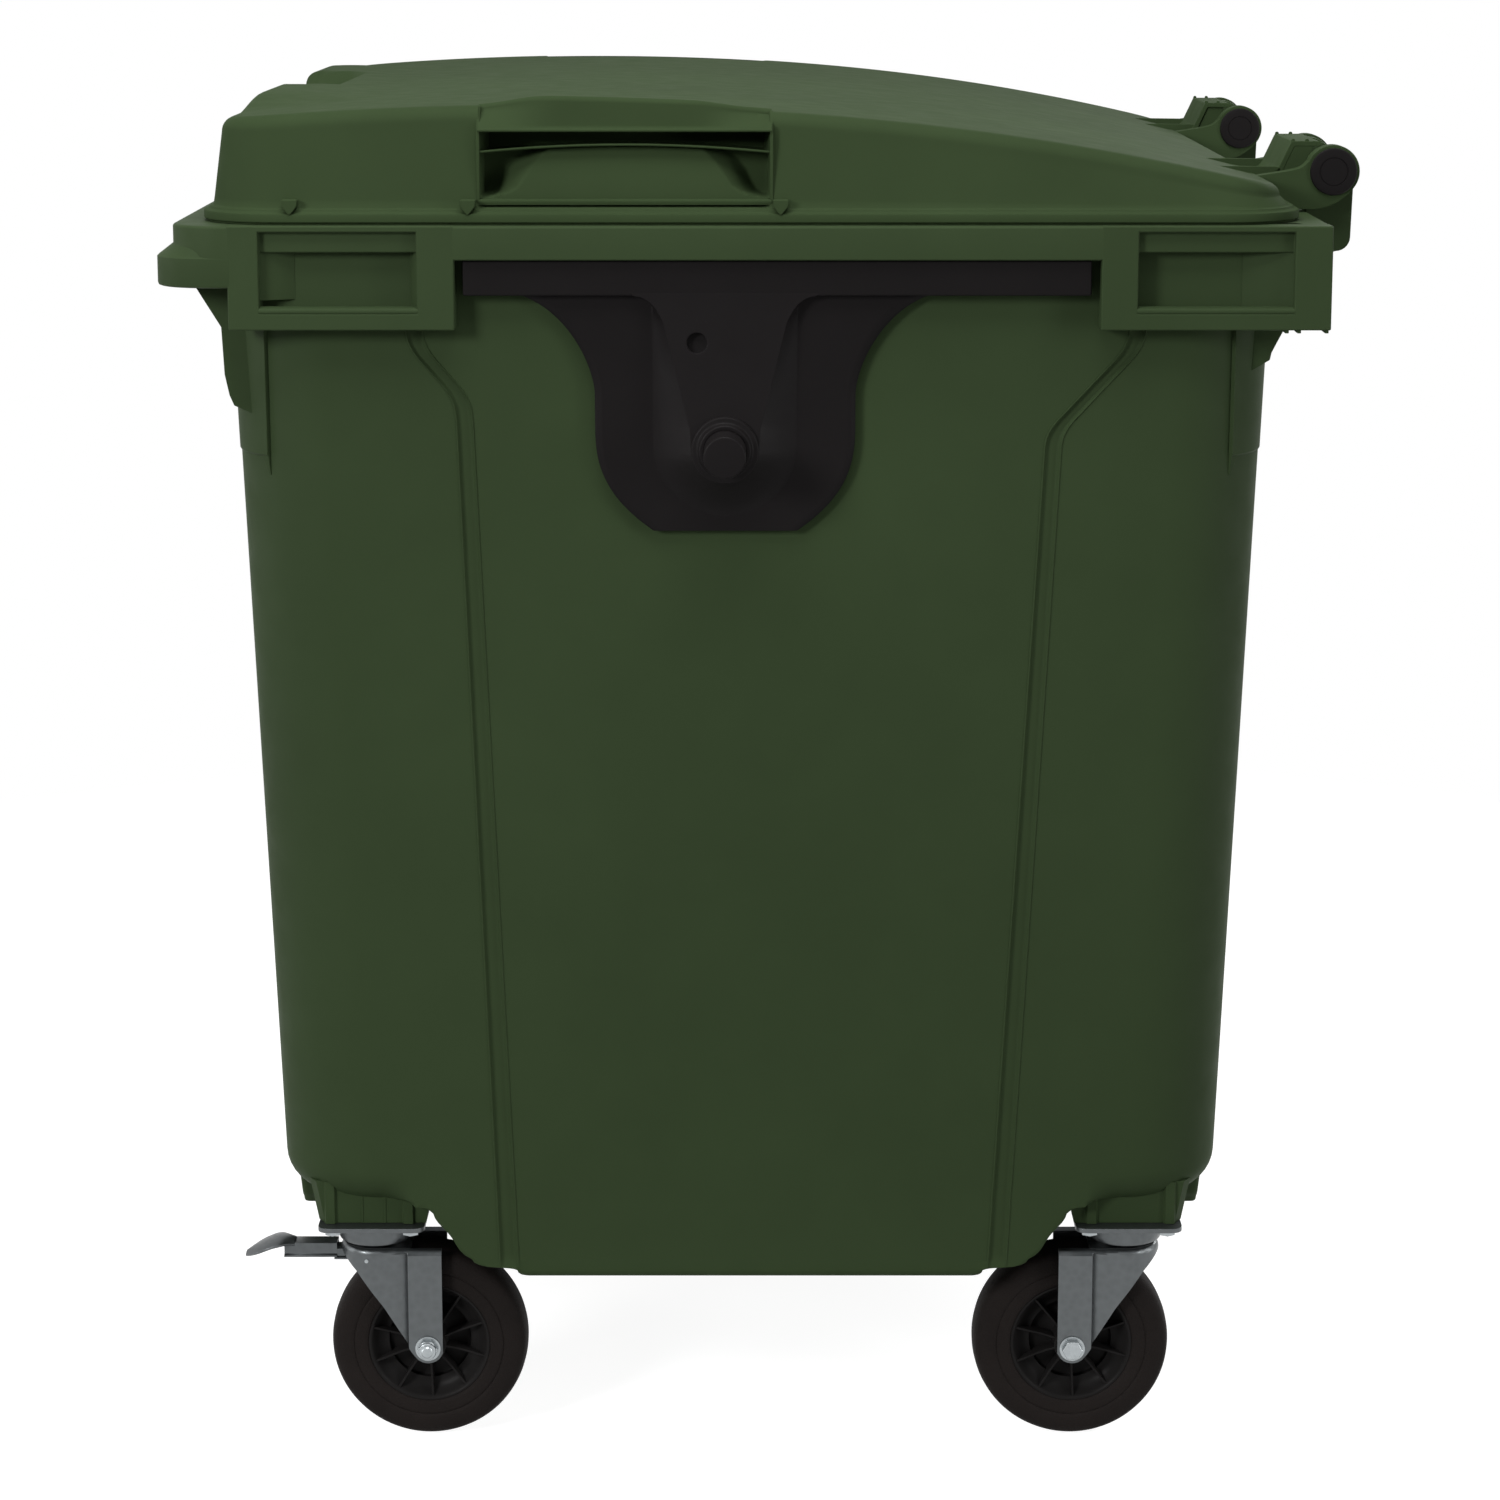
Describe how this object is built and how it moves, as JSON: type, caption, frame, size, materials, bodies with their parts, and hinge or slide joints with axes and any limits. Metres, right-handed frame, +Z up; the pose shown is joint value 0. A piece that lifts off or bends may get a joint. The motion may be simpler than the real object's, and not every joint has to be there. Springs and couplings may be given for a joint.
{
  "type": "wheeled waste container",
  "caption": "Large four-wheeled plastic waste container with a hinged flat lid, side lifting pins, a front comb bar and swivel casters, two of them braked.",
  "frame": {"origin": "middle of the container's box at floor level, between the four wheels", "axes": "+Z up, -Y towards the front with the comb lifting bar, +Y towards the lid hinges, +X towards the right side as seen by someone facing the front"},
  "size_m": [1.37, 1.159, 1.364],
  "materials": {
    "tub_green": "fine moulded texture",
    "lid_green": "fine moulded texture",
    "black_plastic": "moulded",
    "wheel_plastic": "moulded",
    "black_steel": "black coated",
    "zinc": "zinc plated",
    "steel": "bright",
    "tyre": "solid rubber"
  },
  "bodies": {
    "container": {"tub": "tub_green", "hinge_pin_right": "black_steel", "hinge_cap_right_outer": "black_plastic", "hinge_cap_right_inner": "black_plastic", "trunnion_plate_right": "black_plastic", "trunnion_pin_right": "black_steel", "trunnion_nut_right": "zinc", "trunnion_screw_right": "zinc", "hinge_pin_left": "black_steel", "hinge_cap_left_outer": "black_plastic", "hinge_cap_left_inner": "black_plastic", "trunnion_plate_left": "black_plastic", "trunnion_pin_left": "black_steel", "trunnion_nut_left": "zinc", "trunnion_screw_left": "zinc", "caster_plate_front_right": "zinc", "swivel_bearing_front_right": "steel", "king_pin_front_right": "steel", "caster_plate_front_left": "zinc", "swivel_bearing_front_left": "steel", "king_pin_front_left": "steel", "caster_plate_rear_right": "zinc", "swivel_bearing_rear_right": "steel", "king_pin_rear_right": "steel", "caster_plate_rear_left": "zinc", "swivel_bearing_rear_left": "steel", "king_pin_rear_left": "steel"},
    "lid": {"lid": "lid_green"},
    "drain_plug": {"drain_plug": "black_plastic"},
    "swivel_front_right": {"fork_front_right": "zinc", "axle_bush_front_right": "steel", "axle_bolt_front_right": "steel", "axle_nut_front_right": "steel", "brake_pin_front_right": "steel"},
    "wheel_front_right": {"wheel_centre_front_right": "wheel_plastic", "tyre_front_right": "tyre"},
    "pedal_front_right": {"brake_pedal_front_right": "zinc"},
    "swivel_front_left": {"fork_front_left": "zinc", "axle_bush_front_left": "steel", "axle_bolt_front_left": "steel", "axle_nut_front_left": "steel", "brake_pin_front_left": "steel"},
    "wheel_front_left": {"wheel_centre_front_left": "wheel_plastic", "tyre_front_left": "tyre"},
    "pedal_front_left": {"brake_pedal_front_left": "zinc"},
    "swivel_rear_right": {"fork_rear_right": "zinc", "axle_bush_rear_right": "steel", "axle_bolt_rear_right": "steel", "axle_nut_rear_right": "steel"},
    "wheel_rear_right": {"wheel_centre_rear_right": "wheel_plastic", "tyre_rear_right": "tyre"},
    "swivel_rear_left": {"fork_rear_left": "zinc", "axle_bush_rear_left": "steel", "axle_bolt_rear_left": "steel", "axle_nut_rear_left": "steel"},
    "wheel_rear_left": {"wheel_centre_rear_left": "wheel_plastic", "tyre_rear_left": "tyre"}
  },
  "joints": [
    {"name": "lid_hinge", "type": "hinge", "parent": "container", "child": "lid", "pos_m": [0, 0.55325, 1.2845], "axis": [-1, 0, 0], "range_deg": [0, 252]},
    {"name": "swivel_front_right", "type": "hinge", "parent": "container", "child": "swivel_front_right", "pos_m": [0.498, -0.39725, 0.238], "axis": [0, 0, 1], "continuous": true},
    {"name": "wheel_front_right", "type": "hinge", "parent": "swivel_front_right", "child": "wheel_front_right", "pos_m": [0.498, -0.34425, 0.1], "axis": [1, 0, 0], "continuous": true},
    {"name": "pedal_front_right", "type": "hinge", "parent": "swivel_front_right", "child": "pedal_front_right", "pos_m": [0.498, -0.40525, 0.1923], "axis": [1, 0, 0], "range_deg": [0, 7]},
    {"name": "swivel_front_left", "type": "hinge", "parent": "container", "child": "swivel_front_left", "pos_m": [-0.498, -0.39725, 0.238], "axis": [0, 0, 1], "continuous": true},
    {"name": "wheel_front_left", "type": "hinge", "parent": "swivel_front_left", "child": "wheel_front_left", "pos_m": [-0.498, -0.34425, 0.1], "axis": [1, 0, 0], "continuous": true},
    {"name": "pedal_front_left", "type": "hinge", "parent": "swivel_front_left", "child": "pedal_front_left", "pos_m": [-0.498, -0.40525, 0.1923], "axis": [1, 0, 0], "range_deg": [0, 7]},
    {"name": "swivel_rear_right", "type": "hinge", "parent": "container", "child": "swivel_rear_right", "pos_m": [0.498, 0.36275, 0.238], "axis": [0, 0, 1], "continuous": true},
    {"name": "wheel_rear_right", "type": "hinge", "parent": "swivel_rear_right", "child": "wheel_rear_right", "pos_m": [0.498, 0.30975, 0.1], "axis": [1, 0, 0], "continuous": true},
    {"name": "swivel_rear_left", "type": "hinge", "parent": "container", "child": "swivel_rear_left", "pos_m": [-0.498, 0.36275, 0.238], "axis": [0, 0, 1], "continuous": true},
    {"name": "wheel_rear_left", "type": "hinge", "parent": "swivel_rear_left", "child": "wheel_rear_left", "pos_m": [-0.498, 0.30975, 0.1], "axis": [1, 0, 0], "continuous": true},
    {"name": "drain_plug_slide", "type": "slide", "parent": "container", "child": "drain_plug", "axis": [0, 0, -1], "range_m": [0, 0.025]}
  ]
}
